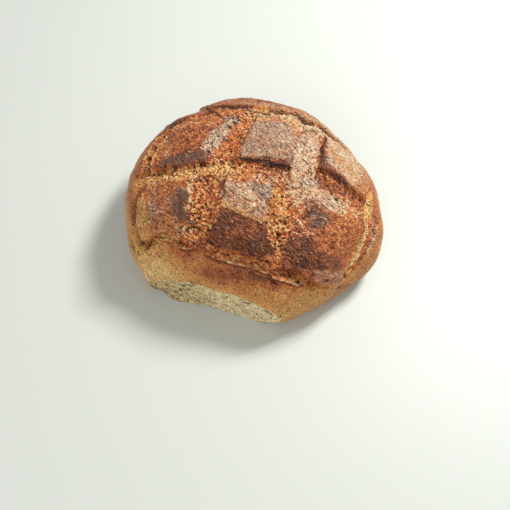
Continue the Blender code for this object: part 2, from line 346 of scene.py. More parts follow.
HOLES = (
    # the left rim
    Hole(-99.6, -52, 7.0, 2.2, 83, 5.0),
    Hole(-105.4, -62.2, 2.0, 1.3, 60, 2.5),
    Hole(-114, -66.8, 1.8, 1.0, 60, 2.0),
    Hole(-90.5, -60, 7.0, 4.4, -14, 3.4),
    Hole(-90, 27, 1.8, 2.8, 0, 2.5),
    Hole(-95, 14, 1.4, 2.0, 0, 2.0),
    Hole(-84, 38, 1.2, 2.2, 30, 1.8),
    Hole(-78, 50, 1.2, 2.2, 30, 1.8),
    Hole(-68, 3, 1.8, 1.2, 0, 1.5),
    # the back rim
    Hole(11, 60, 4.2, 3.2, -20, 4.2),
    Hole(23, 67.5, 9.5, 5.0, -4, 5.6),
    Hole(38, 67, 3.8, 3.4, -20, 5.4),
    Hole(48, 57, 4.6, 3.6, -25, 6.2),
    Hole(51, 57, 1.4, 1.2, 0, 2.0),
    Hole(65, 50, 2.4, 1.4, -30, 1.8),
    Hole(58, 48, 1.6, 1.0, 0, 1.4),
    # along the front
    Hole(-36, -74, 3.5, 2.5, 0, 1.2),
    Hole(88, -88, 1.6, 2.8, 15, 2.4),
    Hole(65, -94, 2.2, 1.4, 0, 2.0),
    Hole(84, -99, 3.2, 1.4, 15, 2.2),
    Hole(36, -100, 2.2, 1.1, 0, 1.6),
    # between the pillows
    Hole(-20, 37, 2.2, 1.4, -40, 2.0),
    Hole(-21, 20, 1.4, 1.3, 0, 1.8),
    Hole(-31, 18, 1.2, 1.1, 0, 1.4),
    Hole(-33, 9, 2.2, 1.2, -60, 1.5),
    Hole(-28, 25, 1.3, 1.0, -30, 1.4),
    Hole(-9, 27, 1.4, 1.0, 0, 1.4),
    Hole(-14, 44, 2.4, 1.3, -20, 1.4),
    Hole(44, 23, 1.2, 1.2, 0, 1.4),
    Hole(18.5, -61.5, 1.6, 1.4, 0, 1.8),
    Hole(20, -50, 1.1, 1.0, 0, 1.4),
    Hole(16, -70, 1.2, 1.2, 0, 1.4),
    Hole(52, -17, 2.4, 1.1, 15, 1.8),
    Hole(63, -21, 2.6, 1.3, 20, 1.8),
    Hole(58, -28, 2.0, 1.2, 30, 1.8),
    # the right rim
    Hole(93, -14, 1.6, 1.4, 0, 1.8),
    Hole(96, -20, 1.6, 1.4, 0, 1.8),
    Hole(104, -30, 1.8, 3.2, 10, 2.0),
    Hole(101, -41, 2.6, 1.6, -20, 2.0),
    # the crumb and the crust beside it
    Hole(-13.5, -132.5, 4.4, 2.0, -10, 2.0),
    Hole(10.5, -136, 6.5, 2.0, -12, 2.0),
    Hole(-67, -114, 3.0, 1.0, -35, 1.8),
    Hole(-90, -117.5, 4.0, 2.2, -40, 2.4),
    Hole(-94, -107, 2.6, 1.4, -40, 1.8),
    Hole(-79, -117, 2.2, 1.2, -30, 1.6),
    Hole(-60, -136, 1.8, 1.2, -10, 1.8),
    Hole(-39, -144, 4.0, 2.0, -8, 2.0),
)

# Where the skin shrank it drew itself into folds: an oval, the way its folds run, their size and rise.
Fold = namedtuple("Fold", "u v long wide turn run length width rise")

FOLDS = (
    Fold(2, -38, 24, 14, -42, -40, 10.0, 2.6, 1.6),
    Fold(8, -27, 14, 8, -20, -45, 8.0, 2.2, 1.4),
    Fold(38, -46, 14, 20, -20, -52, 9.0, 2.8, 1.6),
    Fold(58, -32, 24, 10, -12, -40, 7.0, 2.4, 1.2),
    Fold(56, -60, 22, 20, 0, -40, 6.0, 2.2, 0.9),
    Fold(60, -88, 26, 9, -8, -22, 8.0, 2.4, 1.1),
    Fold(-48, 44, 26, 10, 12, 14, 12.0, 2.6, 1.3),
    Fold(-88, -28, 7, 22, 6, 78, 10.0, 2.8, 0.8),
    Fold(-84, 24, 7, 24, 20, 50, 5.0, 2.4, 1.0),
    Fold(-47, -26, 6, 14, -6, -60, 5.0, 2.8, 1.0),
    Fold(98, -46, 5, 16, 0, 10, 6.0, 2.4, 0.8),
    Fold(-62, -36, 20, 18, 0, 70, 9.0, 3.0, 0.7),
    Fold(-90, -84, 24, 16, -30, -35, 8.0, 2.4, 0.5),
)


def crack_relief(u, v):
    """The cracks' height over the crust around them, the shade painted in them, and the highlight painted
    near a lip.
    """
    relief, crack_shade, lip_highlight = np.zeros((3, u.size))
    for crack in CRACKS:
        here = close_to(u, v, crack.points, CRACK_REACH * crack.half_width)
        distance, side, to_end = near_line(u[here], v[here], smooth_line(crack.points))
        whole = ease(to_end / CRACK_FADE + CRACK_END)
        gap = swell(distance, (0, crack.half_width, 1)) * whole
        lip_line = LIP_PLACE * crack.half_width + LIP_GAP
        stands = swell(distance * side, (lip_line, LIP_WIDTH, 1)) * whole
        relief[here] += crack.lip * stands - crack.depth * gap
        crack_shade[here] = np.maximum(crack_shade[here], gap * min(crack.depth / crack.half_width / SHADE_DEPTH, 1))
        lip_highlight[here] = np.maximum(lip_highlight[here], stands * min(crack.lip / LIP_HIGHLIGHT_RISE, 1))
    return relief, crack_shade, lip_highlight


def from_middle(u, v, oval):
    """Distance from the middle of a turned oval: 1 at its edge."""
    turn = math.radians(oval.turn)
    off_u, off_v = u - oval.u, v - oval.v
    along = (off_u * math.cos(turn) + off_v * math.sin(turn)) / oval.long
    across = (off_v * math.cos(turn) - off_u * math.sin(turn)) / oval.wide
    return np.hypot(along, across)


def hole_depth(u, v):
    """How deep the holes go at (u, v), and how far inside a hole that is, from 0 to 1."""
    depth, inside = np.zeros((2, u.size))
    for hole in HOLES:
        share = ease(HOLE_FLANK * (1 - from_middle(u, v, hole)) + HOLE_RIM)
        depth = np.maximum(depth, hole.depth * share)
        inside = np.maximum(inside, share * min(hole.depth / hole.wide, 1))
    return depth, inside


# The bake
# Where the crust stood high in the oven it went dark, in the cuts and low on the sides it stayed
# orange and golden. Flour and steam left pale dust, and the same pale states paint the crust's sheen; the
# hottest spots are scorched grey-brown. Some patches and zones paint shade on steep walls and under lips.

# Soft ovals, each of which adds to the states of the crust around its middle.
Patch = namedtuple("Patch", "u v long wide turn bake dust scorch rough")

PATCHES = (
    # the back row of pillows, from the left
    Patch(-52, 26, 20, 20, 0, 0.0, 0.10, 0.0, 0.25),
    Patch(-48, 44, 26, 9, 12, -0.06, 0.15, 0.0, 0.3),
    Patch(-42, 16, 9, 7, 0, 0.06, 0.0, 0.0, 0.1),
    # this and the next: partly scorch, partly painted shade along the first pillow's lower edge
    Patch(-51, 4, 25, 5.0, 4, 0.14, 0.10, 0.75, 0.1),
    Patch(-37, 3, 7, 4.5, 0, 0.22, 0.0, 0.30, 0.0),
    Patch(-29, 24, 7, 20, -16, 0.0, 0.70, 0.20, 0.7),
    Patch(-16, 48, 9, 4, 6, 0.08, 0.35, 0.50, 0.5),
    Patch(6, 50, 12, 12, 0, -0.26, 0.40, 0.0, 0.5),
    Patch(16, 24, 21, 20, 0, 0.02, 0.70, 0.26, 0.15),
    Patch(2, 14, 8, 12, 0, 0.06, 0.10, 0.30, 0.2),
    # painted shade on the middle cut's steep wall under the second pillow
    Patch(12, 1, 21, 4.5, -6, 0.22, -0.3, 0.35, 0.0),
    Patch(40, 40, 18, 12, -10, -0.20, 0.32, 0.0, 0.2),
    Patch(47, 18, 11, 26, -16, -0.12, 0.72, 0.10, 0.6),
    Patch(36, -4, 11, 14, 0, -0.06, 0.62, 0.12, 0.4),
    # this and the next: painted shade on the right cut's steep wall, which faces away from the light
    Patch(61, 26, 2.4, 15, -12, 0.34, -0.6, 0.0, 0.2),
    Patch(53, 3, 2.4, 9, -22, 0.34, -0.5, 0.10, 0.2),
    Patch(80, 20, 24, 24, 0, -0.22, 0.66, 0.0, -0.1),
    Patch(72, -2, 20, 12, -25, -0.24, 0.40, 0.0, 0.0),
    Patch(57, 3, 6, 7, -30, 0.12, 0.20, 0.45, 0.0),
    # painted shade along the third pillow's lower edge
    Patch(62, -8, 18, 2.8, -26, 0.26, -0.3, 0.20, 0.0),
    # the crossings of the middle cut
    Patch(-58, -4, 30, 6, -3, -0.22, 0.0, 0.0, 0.4),
    Patch(-58, -11, 30, 2.2, -3, -0.20, 0.45, 0.0, 0.4),
    Patch(-22, -5, 14, 9, 0, -0.26, 0.0, 0.0, 0.6),
    Patch(12, -10, 18, 5, -5, 0.04, 0.05, 0.0, 0.4),
    Patch(-14, -19, 12, 4, -25, -0.20, 0.20, 0.0, 0.4),
    Patch(8, -18, 14, 3.5, -5, -0.16, 0.30, 0.0, 0.4),
    Patch(32, -20, 15, 12, -20, -0.04, 0.55, 0.10, 0.6),
    # painted shade at the foot of the third pillow's edge
    Patch(50, -10, 12, 7, 0, 0.26, -0.1, 0.1, 0.0),
    Patch(60, -19, 22, 6, -20, 0.16, 0.0, 0.15, 0.5),
    Patch(62, -32, 22, 7, -15, -0.20, 0.60, 0.0, 0.5),
    # the front row of pillows, from the left
    Patch(-67, -38, 18, 22, 0, -0.02, 0.15, 0.15, -0.05),
    Patch(-78, -30, 6, 22, 0, -0.08, 0.22, 0.05, 0.1),
    Patch(-55, -37, 8, 15, 0, 0.06, 0.15, 0.75, -0.1),
    Patch(-47, -54, 6, 4, 0, 0.25, 0.0, 0.30, 0.1),
    Patch(-35, -24, 9, 16, 8, 0.10, 0.05, 0.0, 0.8),
    Patch(-48, -25, 4.5, 13, -12, 0.02, 0.35, 0.40, 0.8),
    Patch(-40, -56, 15, 16, 0, -0.08, 0.14, 0.05, 0.5),
    Patch(-58, -62, 14, 8, -25, -0.12, 0.20, 0.0, 0.5),
    Patch(-55, -74, 14, 4, -15, 0.04, 0.0, 0.0, 0.5),
    Patch(-4, -38, 26, 9, -42, 0.0, 0.55, 0.20, 0.4),
    Patch(4, -50, 16, 2.5, -42, -0.26, 0.30, 0.0, 0.4),
    Patch(8, -28, 11, 6, -15, 0.10, 0.45, 0.75, 0.3),
    Patch(-30, -48, 6, 14, 0, -0.22, 0.10, 0.10, 0.2),
    Patch(-8, -66, 28, 16, -12, 0.22, -0.08, 0.0, -0.1),
    Patch(-30, -75, 5, 4, 0, 0.05, 0.0, 0.20, 0.1),
    Patch(48, -50, 9, 8, -45, 0.26, 0.20, 0.50, 0.2),
    Patch(34, -60, 8, 12, -30, 0.10, 0.35, 0.10, 0.4),
    Patch(66, -56, 18, 20, 0, -0.08, 0.0, 0.0, 0.30),
    Patch(40, -74, 24, 9, -10, 0.28, 0.0, 0.0, 0.0),
    Patch(54, -86, 26, 7, -8, 0.16, 0.18, 0.20, 0.2),
    Patch(18, -56, 9, 26, 6, -0.02, 0.0, 0.0, 0.6),
    # along the front
    Patch(4, -84, 20, 5, -10, 0.12, 0.0, 0.0, 0.1),
    Patch(30, -99, 26, 3.5, -3, -0.12, 0.0, 0.0, 0.2),
    # painted shade under the lip of the front cut
    Patch(-14, -103, 36, 5, -4, 0.14, 0.0, 0.0, 0.0),
    Patch(-14, -91, 26, 4, -9, -0.14, 0.20, 0.0, 0.1),
    # painted shade under the lip at the front left
    Patch(-57, -85, 9, 5, 0, 0.10, 0.0, 0.06, 0.0),
    Patch(-10, -112, 50, 14, 0, 0.08, 0.0, 0.0, 0.0),
    Patch(-92, -86, 26, 22, -20, -0.22, 0.0, 0.0, -0.1),
    Patch(-112, -20, 12, 24, 0, -0.12, 0.0, 0.0, 0.0),
    Patch(-90, -50, 10, 6, 0, -0.26, 0.0, 0.0, 0.1),
    Patch(-70, -60, 16, 9, -15, 0.02, 0.30, 0.0, 0.2),
    Patch(-92, -4, 12, 20, 0, -0.14, 0.0, 0.0, 0.0),
    Patch(-70, -70, 10, 6, -20, -0.16, 0.05, 0.0, 0.1),
    Patch(-50, -90, 12, 6, 0, -0.12, 0.05, 0.0, 0.0),
    Patch(0, -112, 26, 8, 0, -0.12, 0.0, 0.0, 0.0),
    Patch(10, -88, 10, 5, 0, -0.12, 0.0, 0.0, 0.1),
    Patch(108, -42, 9, 30, 0, 0.12, 0.0, 0.0, 0.0),
    # painted shade under the lower edge of the front right pillow
    Patch(30, -90, 14, 6, -4, 0.14, 0.0, 0.0, 0.0),
    Patch(-70, 50, 12, 8, 30, -0.24, 0.10, 0.0, 0.1),
    Patch(96, -96, 34, 20, 50, 0.16, 0.0, 0.0, 0.0),
    # the rim
    Patch(-30, 62, 26, 6, 4, 0.0, 0.0, 0.0, 0.4),
    Patch(-75, 66, 17, 8, 38, 0.45, 0.0, 0.25, 0.0),
    Patch(-84, 28, 8, 24, 20, -0.08, 0.0, 0.0, 0.8),
    Patch(-91, 22, 3, 14, 20, 0.05, 0.70, 0.0, 0.6),
    Patch(-82, 30, 5, 22, 22, -0.12, 0.0, 0.0, 0.5),
    Patch(-69, 24, 3, 26, 18, -0.10, 0.40, 0.20, 0.2),
    Patch(-99, -27, 4, 15, 12, 0.16, 0.0, 0.0, 0.0),
    Patch(-88, -32, 6, 24, 6, -0.22, 0.10, 0.0, 0.3),
    Patch(-104, -54, 8, 12, 0, 0.0, 0.10, 0.0, 0.3),
    # a pale stripe on the right rim's ridge: partly pale crust, partly painted highlight
    Patch(88, -50, 2.6, 44, -10, -0.42, 0.0, 0.0, 0.0),
    Patch(97, -14, 4, 12, -16, -0.26, 0.0, 0.0, 0.2),
    Patch(94, -56, 2.6, 30, -6, 0.22, -0.1, 0.0, 0.8),
    Patch(99, -46, 3.0, 15, -6, -0.02, 0.75, 0.25, 0.3),
    Patch(30, 62, 36, 13, -8, -0.22, 0.55, 0.0, 0.4),
    Patch(60, 46, 20, 12, -30, -0.30, 0.52, 0.0, 0.3),
    Patch(0, 78, 60, 7, 0, -0.02, 0.25, 0.0, 0.0),
    Patch(76, 62, 26, 12, -40, -0.16, 0.50, 0.0, 0.0),
)

# Zones that end in an edge, where the skin tore or was drawn tight, and thin dark ones of painted shade on
# steep walls: inside, these states hold.
Zone = namedtuple("Zone", "edge bake dust scorch rough corners")

ZONES = (
    # the back row of pillows and the cuts between them, from the left
    # partly scorch, partly painted shade: the dark band along the first pillow's lower edge
    Zone(4.0, 0.70, 0.15, 0.72, 0.1,
         ((-74, 6), (-70, 10), (-56, 11), (-44, 9), (-35, 8), (-33, 1), (-50, 1), (-66, 3))),
    Zone(5.0, 0.60, 0.78, 0.40, 0.6,
         ((-35, 7), (-38, 18), (-34, 28), (-28, 36), (-23, 47), (-12, 50), (-13, 44), (-19, 36),
          (-21, 24), (-27, 12))),
    Zone(1.8, 0.46, 0.0, 0.0, 0.85,
         ((-19, 22), (-12, 40), (-8, 52), (2, 56), (2, 44), (-4, 30), (-10, 16), (-12, 2), (-26, 1),
          (-27, 10))),
    Zone(3.0, 0.62, 0.62, 0.34, 0.12,
         ((-3, 36), (8, 44), (22, 45), (34, 38), (37, 26), (33, 12), (27, 0), (10, 1), (-9, 1),
          (-10, 10), (-6, 22))),
    # painted shade: a thin dark line on the middle cut's steep wall under the second pillow
    Zone(1.6, 0.74, 0.0, 0.10, 0.1,
         ((-13, 2.2), (0, 0.2), (12, -1.0), (26, -2.6), (27, -4.6), (12, -3.4), (-1, -2.4),
          (-13, -0.4))),
    Zone(1.6, 0.34, 0.88, 0.0, 0.8,
         ((40, 32), (46, 42), (54, 46), (60, 44), (60, 30), (56, 14), (50, 2), (48, -6), (40, -12),
          (28, -14), (27, -5), (32, 6), (36, 18))),
    Zone(4.0, 0.46, 0.50, 0.0, 0.4,
         ((61, 40), (63, 40), (61, 24), (57, 10), (52, -1), (46, -3), (50, 8), (57, 22))),
    # painted shade: the right cut's steep wall, which faces away from the light
    Zone(1.6, 0.70, 0.0, 0.0, 0.1,
         ((64, 42), (65, 38), (61.5, 24), (58.5, 14), (53, -1), (49, -5), (48, -3), (55.5, 13),
          (60.3, 25))),
    # painted shade: the dark line along the third pillow's lower edge
    Zone(2.0, 0.76, 0.0, 0.08, 0.1,
         ((49, -2), (60, -7), (74, -14), (92, -19.5), (92, -21), (74, -16), (60, -9.5), (48, -5))),
    Zone(2.5, 0.64, 0.14, 0.0, 0.7,
         ((46, -5), (60, -10), (76, -17), (90, -22), (86, -29), (70, -29), (56, -24), (46, -18))),
    # the front row, from the left
    Zone(6.0, 0.62, 0.15, 0.70, 0.1,
         ((-56, -27), (-50, -25), (-47, -32), (-50, -44), (-52, -56), (-58, -56), (-63, -46),
          (-62, -34))),
    Zone(1.2, 0.30, 0.50, 0.25, 1.0,
         ((-50, -16), (-45, -17), (-43, -24), (-45, -38), (-49, -46), (-50, -40), (-47, -32),
          (-49, -24))),
    Zone(1.4, 0.46, 0.0, 0.0, 0.95,
         ((-32, -11), (-22, -20), (-21, -30), (-26, -38), (-30, -46), (-36, -56), (-47, -54),
          (-47, -40), (-43, -24), (-40, -18))),
    Zone(1.8, 0.52, 0.64, 0.16, 0.40,
         ((-20, -20), (-8, -20), (2, -22), (8, -36), (12, -44), (8, -52), (-4, -45), (-22, -35),
          (-24, -30))),
    Zone(4.0, 0.62, 0.50, 0.85, 0.15, ((-2, -22), (14, -22), (17, -28), (12, -38), (6, -36), (1, -30))),
    Zone(2.0, 0.82, 0.0, 0.0, 0.04,
         ((-23, -37), (-8, -44), (4, -52), (8, -56), (10, -66), (15, -78), (0, -80), (-22, -80),
          (-36, -77), (-32, -62), (-25, -48))),
    Zone(1.2, 0.20, 0.25, 0.0, 0.4,
         ((10, -54.5), (3, -51.4), (-5, -47.4), (-13, -42.4), (-22, -36.6), (-21, -33.6), (-12, -39.4),
          (-4, -44.6), (4, -48.6), (11, -51))),
    Zone(1.6, 0.38, 0.0, 0.0, 1.0,
         ((14, -24), (26, -30), (28, -44), (27, -58), (26, -70), (22, -80), (16, -80), (12, -67),
          (9, -55), (9, -47), (12, -38))),
    Zone(4.0, 0.34, 0.80, 0.0, 0.6,
         ((27, -22), (40, -20), (56, -26), (64, -34), (62, -42), (50, -38), (44, -32), (36, -34),
          (30, -40))),
    Zone(7.0, 0.74, 0.24, 0.60, 0.2, ((38, -32), (44, -33), (52, -44), (47, -52), (40, -48), (37, -40))),
    Zone(3.0, 0.60, 0.30, 0.10, 0.7, ((28, -48), (38, -50), (46, -58), (40, -64), (30, -66))),
    Zone(5.0, 0.60, 0.0, 0.0, 0.4, ((54, -48), (68, -44), (74, -60), (66, -72), (50, -70), (44, -60))),
    Zone(7.0, 0.90, 0.0, 0.10, 0.05, ((26, -66), (40, -64), (46, -72), (44, -80), (28, -82), (22, -78))),
    Zone(6.0, 0.80, 0.05, 0.0, 0.15, ((44, -74), (72, -72), (76, -80), (56, -86), (40, -84))),
    Zone(3.0, 0.52, 0.46, 0.10, 0.4, ((48, -86), (70, -84), (84, -84), (84, -95), (66, -98), (50, -96))),
    # the left and right rims
    Zone(2.0, 0.62, 0.0, 0.0, 0.1,
         ((-87, -8), (-84, -13), (-92, -22), (-97, -32), (-99, -42), (-103, -40), (-102, -28),
          (-97, -16))),
    Zone(3.0, 0.20, 0.12, 0.0, 0.3,
         ((-88, -17), (-84, -26), (-84, -44), (-92, -46), (-97, -40), (-94, -28))),
    # this zone and the next: the right rim's ridge, partly pale crust, partly painted highlight
    Zone(2.0, 0.20, 0.0, 0.0, 0.3, ((100, -6), (105, -8), (100, -22), (96, -34), (92, -36), (94, -24))),
    Zone(1.6, 0.14, 0.05, 0.0, 0.2,
         ((86, -33), (93, -32), (91.6, -58), (91, -76), (83, -90), (79, -88), (86, -74), (86, -58))),
    Zone(1.5, 0.54, 0.0, 0.0, 1.0, ((94, -36), (98, -34), (99, -60), (98, -80), (92, -84), (93, -56))),
    Zone(2.5, 0.48, 0.15, 0.05, 1.0,
         ((-66, 58), (-74, 62), (-82, 56), (-90, 44), (-97, 26), (-98, 12), (-90, 8), (-86, 22),
          (-80, 36), (-73, 47))),
    Zone(1.5, 0.42, 0.70, 0.2, 0.7,
         ((98, -34), (104, -34), (102, -46), (101, -62), (97, -62), (97, -46))),
)

TOP_BAKE = 0.60
SIDE_BAKE = 0.26
FLOOR_BAKE = 0.44
SIDE_STARTS = 94.0  # over the crust from the crown
SIDE_ENDS = 128.0
PLAIN_ROUGH = 0.12
PATCH_FALL = 1.2
PATCH_LEVEL = 1.15
PATCH_DRIFT = 0.5

# What each feature of the crust adds to its bake, dust and painted sheen, scorch and roughness.
FLANK_ADDS = (-0.05, 0.10, 0.0, 0.45)
FLOOR_ADDS = (0.0, 0.0, 0.0, 0.75)
DRIFT_ADDS = (0.09, 0.0, 0.0, 0.0)
# cracks painted darker and bare of dust: painted shade
CRACK_SHADE_ADDS = (0.35, -0.5, 0.0, 0.0)
# lips painted paler and dusted: painted highlight
LIP_HIGHLIGHT_ADDS = (-0.34, 0.6, 0.0, 0.0)
# the cuts' steep walls are painted darker and bare of dust: painted shade
WALL_SHADE_ADDS = (0.10, -0.4, 0.0, 0.0)


def within(u, v, corners, edge):
    """1 inside the corners and 0 outside them, with a step edge wide between."""
    distance = np.full_like(u, FAR)
    inside = np.zeros(u.shape, bool)
    for (u1, v1), (u2, v2) in zip(corners, corners[1:] + corners[:1]):
        du, dv = u2 - u1, v2 - v1
        forward = np.clip(((u - u1) * du + (v - v1) * dv) / (du * du + dv * dv), 0, 1)
        distance = np.minimum(distance, np.hypot(u - u1 - forward * du, v - v1 - forward * dv))
        if dv:
            inside ^= ((v1 > v) != (v2 > v)) & (u < u1 + du * (v - v1) / dv)
    return ease(0.5 + np.where(inside, distance, -distance) / edge)


def bake_state(u, v, floor, flank_near, wall, crack_shade, lip_highlight, drift):
    """Bake, dust and painted sheen, scorch and roughness of the crust at (u, v), each from 0 to 1."""
    down = ease((np.hypot(u, v) - SIDE_STARTS) / (SIDE_ENDS - SIDE_STARTS))
    bake = TOP_BAKE + (SIDE_BAKE - TOP_BAKE) * down
    bake += (np.minimum(FLOOR_BAKE, bake) - bake) * floor
    states = np.zeros((4, u.size))
    states[0] = bake
    states[3] = PLAIN_ROUGH
    states += np.outer(FLANK_ADDS, flank_near) + np.outer(FLOOR_ADDS, floor)
    for patch in PATCHES:
        fall = np.exp(-PATCH_FALL * from_middle(u, v, patch) ** 2)
        adds = (patch.bake, patch.dust, patch.scorch, patch.rough)
        states += np.outer(adds, fall * np.clip(PATCH_LEVEL + PATCH_DRIFT * drift, 0, 2))
    for zone in ZONES:
        held = np.array((zone.bake, zone.dust, zone.scorch, zone.rough))
        states += (held[:, None] - states) * within(u, v, zone.corners, zone.edge)
    states += np.outer(DRIFT_ADDS, drift) + np.outer(CRACK_SHADE_ADDS, crack_shade)
    states += np.outer(LIP_HIGHLIGHT_ADDS, lip_highlight) + np.outer(WALL_SHADE_ADDS, wall)
    return np.clip(states, 0, 1)


# The skin and the crumb
# Blistered, finely wrinkled skin on the pillows, shredded crust in the cuts, and on the torn side
# the open crumb itself, all drawn out of one closed shell.

CELLS = 138  # along each edge of the cube that the shell is blown up from
SWELLS = ((42.0, 1.5, 3.0), (17.0, 0.7, 11.0))  # size, rise, seed
SKIN_ALLOWANCE = 0.6  # the skin lies this much lower, so that its bumps stay within the loaf's box
SIDE_SKIN = (88.0, 108.0)  # over the crust from the crown: where the skin's folds turn downwards
SKIN_RUN = -48.0  # degrees from +X: the way the finest wrinkles run on the pillows
WRINKLES = (5.0, 1.6, 5.0)  # length, width, seed
SPOKES_ROUND = 42.0
SPOKE_SLANT = 5.0
SPOKE_LENGTH = 6.0
SPOKE_SEED = 7.0
WRINKLE_RISE = 0.5
BLISTER_RISE = 0.4
SHRED_RISE = 1.5
FOLD_FALL = 1.4
FOLD_SEED = 3.0
DRAWN_RISE = 0.6
PLAIN_FOOT = 16.0
CRUMB_RECESS = 1.6
TORN_TOP_RAGGED = 1.3
COARSE_SHADED_CRUMB = (-40.0, 35.0)  # u: left of this the crumb is coarser and painted darker as shade, fully so this much farther on
NOISE_GAIN = 1.6  # brings the noise's swing to about 1

# Each unevenness: the distance between its swells, and a seed.
COARSE_WAVER = ((9.0, 41.0), (9.0, 53.0))
FINE_WAVER = ((3.4, 47.0), (3.4, 59.0))
TINY_WAVER = ((1.8, 113.0), (1.8, 127.0))
BROAD_DRIFT = (13.0, 67.0)
NARROW_DRIFT = (5.0, 71.0)
LARGE_SHREDS = (2.7, 73.0)
SMALL_SHREDS = (1.7, 79.0)
SHRED_PITS = (2.2, 83.0)
SHRED_SWELLS = (5.0, 109.0)
SKIN_LUMPS = (1.9, 89.0)
BLISTERS = (5.0, 97.0)
LARGE_PORES = (2.6, 101.0)
SMALL_PORES = (1.5, 103.0)
TUFTS = (1.9, 107.0)
CRUMB_SWELLS = (9.0, 31.0)


def unevenness(places):
    """Smooth noise at each place, between about -1 and 1."""
    return np.array([noise.noise(Vector(place)) for place in places]) * NOISE_GAIN


def shifted(points, size, seed):
    """The points in shares of a size, moved to a part of the noise that is a seed's own."""
    shift = Vector((seed, seed * 0.37, seed * 0.71))
    return [Vector(point) / size + shift for point in points]


def lumps(points, size, seed):
    """Smooth unevenness between about -1 and 1, whose swells are size apart."""
    return unevenness(shifted(points, size, seed))


def grains(points, size, seed):
    """Rounded crumbs: 1 at the middle of each, 0 in the cracks between them."""
    near = np.array([noise.voronoi(point)[0][0] for point in shifted(points, size, seed)])
    return 1 - np.clip(near / 0.75, 0, 1) ** 2


def wrinkles(u, v, turn, length, width, seed):
    """Fine folds of the skin that run in one direction over the crust."""
    turn = math.radians(turn)
    along = (u * math.cos(turn) + v * math.sin(turn)) / length
    across = (v * math.cos(turn) - u * math.sin(turn)) / width
    return unevenness(zip(along, across, np.full_like(u, seed)))


def spokes(angle, over):
    """Fine folds of the skin that run down the loaf's sides."""
    around = angle * SPOKES_ROUND + over / SPOKE_SLANT
    return unevenness(zip(around, over / SPOKE_LENGTH, np.full_like(over, SPOKE_SEED)))


def folded(u, v):
    """Height of the drawn folds, and how strongly the skin is folded there."""
    height, drawn = np.zeros((2, u.size))
    for number, fold in enumerate(FOLDS):
        share = np.exp(-FOLD_FALL * from_middle(u, v, fold) ** 2)
        here = np.nonzero(share > 0.03)[0]
        waves = wrinkles(u[here], v[here], fold.run, fold.length, fold.width, FOLD_SEED + 2 * number)
        height[here] += 0.5 * fold.rise * share[here] * (1 - 2.4 * np.abs(waves))
        drawn[here] = np.maximum(drawn[here], share[here] * min(fold.rise, 1))
    return height, drawn


def shredded(plain):
    """The height of crust that tore to shreds, from 0 to 1, and the pits in it."""
    pits = ease((lumps(plain, *SHRED_PITS) - 0.45) / 0.30)
    return 0.6 * grains(plain, *LARGE_SHREDS) + 0.4 * grains(plain, *SMALL_SHREDS) - 0.6 * pits, pits


def skin_relief(u, v, angle, over, plain, rough):
    """The skin's own height, how high its crests are, its pits, and how low on the sides it lies."""
    low = ease((over - SIDE_SKIN[0]) / (SIDE_SKIN[1] - SIDE_SKIN[0]))
    shreds, pits = shredded(plain)
    folds = wrinkles(u, v, SKIN_RUN, *WRINKLES) * (1 - low) + spokes(angle, over) * low
    skin = 0.95 * folds + 0.4 * lumps(plain, *SKIN_LUMPS)
    blisters = ease((lumps(plain, *BLISTERS) - 0.5) / 0.5)
    drawn_height, drawn = folded(u, v)
    height = rough * (SHRED_RISE * (shreds - 0.6) + 0.45 * lumps(plain, *SHRED_SWELLS))
    height += (1 - rough) * (1 - 0.65 * low) * (WRINKLE_RISE * skin + BLISTER_RISE * blisters)
    height += drawn_height - SKIN_ALLOWANCE * (1 + 0.5 * low)
    crest = rough * shreds + (1 - rough) * (0.5 + 0.45 * (1 - 0.4 * low) * skin)
    crest += 0.45 * drawn * np.clip(drawn_height / DRAWN_RISE, -1, 1)
    return height, crest, pits * rough, low


def torn_crumb(u, plain, depth):
    """The crumb's height on the torn face, how high its tufts are, lowered as painted shade where the crumb
    is coarser, and its pores.
    """
    coarser_and_shaded = ease((COARSE_SHADED_CRUMB[0] - u) / COARSE_SHADED_CRUMB[1])
    bubbles = lumps(plain, *LARGE_PORES) + 0.5 * lumps(plain, *SMALL_PORES)
    pores = ease((bubbles - 0.75 + 0.5 * coarser_and_shaded) / 0.4)
    tufts = grains(plain, *TUFTS)
    height = 0.8 * lumps(plain, *CRUMB_SWELLS) + 0.9 * (tufts - 0.6) - 1.1 * pores
    # the coarser crumb's tufts count lower, so it is painted darker: painted shade
    return height - 0.6 * depth - CRUMB_RECESS, tufts - 0.35 * coarser_and_shaded, pores


def over_crust(directions):
    """The angle round the crown and the length over the crust of each point, and which are on the base."""
    x, y, z = directions.T
    angle = np.arctan2(y, x)
    corner = np.maximum(np.abs(np.cos(angle)), np.abs(np.sin(angle)))
    lowest = math.pi - np.arctan(1 / corner)
    share = np.clip(np.arccos(np.clip(z, -1, 1)) / lowest, 0, 1)
    return angle, share * section()[0][-1], share > 1 - 1e-6


